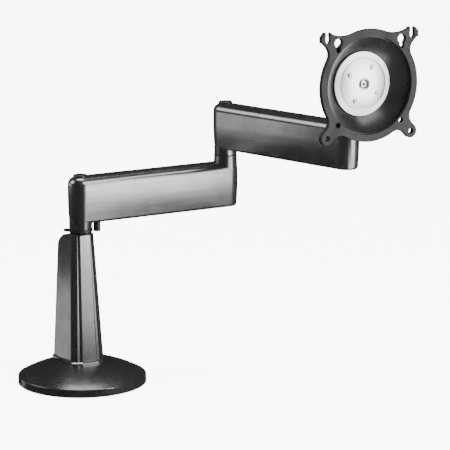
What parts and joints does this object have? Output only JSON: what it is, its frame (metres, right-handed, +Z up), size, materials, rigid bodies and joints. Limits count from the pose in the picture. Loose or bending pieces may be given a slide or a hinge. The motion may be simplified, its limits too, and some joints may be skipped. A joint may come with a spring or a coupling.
{
  "type": "monitor arm",
  "caption": "Desk monitor arm: round base, tapered column, stacked swivelling box arms and a ball head with a slotted display plate.",
  "frame": {"origin": "centre of the base's underside, on the desk, on the column's pivot axis", "axes": "+Z up along the column; -Y out of the display plate's front face at rest; +X to the right when facing the plate's back from the column side"},
  "size_m": [0.3463, 0.2767, 0.3832],
  "materials": {
    "graphite_paint": "gloss",
    "gloss_black": "gloss",
    "plate_coat": "satin",
    "silver_paint": "satin",
    "zinc_steel": "satin",
    "black_steel": "satin",
    "black_nylon": "matte",
    "rubber": "matte"
  },
  "bodies": {
    "base": {"rubber_pad": "rubber", "base_plate": "zinc_steel", "base_cover": "graphite_paint", "base_cover_screws": "black_steel", "column_screws": "black_steel", "desk_anchor": "zinc_steel", "foot_ring": "graphite_paint", "column_casting": "graphite_paint", "column_front_panel": "graphite_paint", "rear_cable_cover": "graphite_paint", "rear_cover_screws": "black_steel", "column_post": "zinc_steel", "index_ring": "black_steel", "index_grub_screw": "black_steel", "stop_plate": "zinc_steel", "shoulder_washer": "black_nylon", "shoulder_shaft": "zinc_steel", "shoulder_bolt": "black_steel", "shoulder_springs": "zinc_steel"},
    "lower_arm": {"arm_1_casting": "graphite_paint", "shoulder_bush": "black_nylon", "shoulder_thrust_washer": "black_nylon", "stop_peg": "black_steel", "arm_1_cable_clips": "black_nylon", "elbow_shaft": "zinc_steel", "elbow_washer": "black_nylon", "elbow_bolt": "black_steel", "elbow_springs": "zinc_steel"},
    "upper_arm": {"arm_2_casting": "graphite_paint", "elbow_bush": "black_nylon", "elbow_thrust_washer": "black_nylon", "arm_2_cable_clips": "black_nylon", "head_bush": "black_nylon"},
    "head": {"head_post": "black_steel", "head_retaining_screw": "zinc_steel", "rear_cup": "black_steel", "centre_sleeve": "zinc_steel", "head_springs": "zinc_steel", "domed_disc": "silver_paint", "disc_rivets": "silver_paint", "pressure_ring": "silver_paint", "centre_bolt": "zinc_steel"},
    "pitch_liner": {"rear_liner": "black_nylon"},
    "yaw_liner": {"front_liner": "black_nylon"},
    "plate": {"tilt_dish": "gloss_black", "mounting_plate": "plate_coat"}
  },
  "joints": [
    {"name": "shoulder_swivel", "type": "hinge", "parent": "base", "child": "lower_arm", "pos_m": [0, 0, 0.165], "axis": [0, 0, 1], "range_deg": [-188, 125]},
    {"name": "elbow_swivel", "type": "hinge", "parent": "lower_arm", "child": "upper_arm", "pos_m": [0.17645, 0.00431, 0.2279], "axis": [0, 0, 1], "continuous": true},
    {"name": "head_swivel", "type": "hinge", "parent": "upper_arm", "child": "head", "pos_m": [0.22124, -0.16641, 0.2832], "axis": [0, 0, 1], "range_deg": [-75, 104]},
    {"name": "plate_pitch", "type": "hinge", "parent": "head", "child": "pitch_liner", "pos_m": [0.22124, -0.25311, 0.326], "axis": [1, 0, 0], "range_deg": [-9, 9]},
    {"name": "plate_yaw", "type": "hinge", "parent": "pitch_liner", "child": "yaw_liner", "pos_m": [0.22124, -0.25311, 0.326], "axis": [0, 0, 1], "range_deg": [-9, 9]},
    {"name": "plate_spin", "type": "hinge", "parent": "yaw_liner", "child": "plate", "pos_m": [0.22124, -0.25311, 0.326], "axis": [0, 1, 0], "continuous": true}
  ]
}
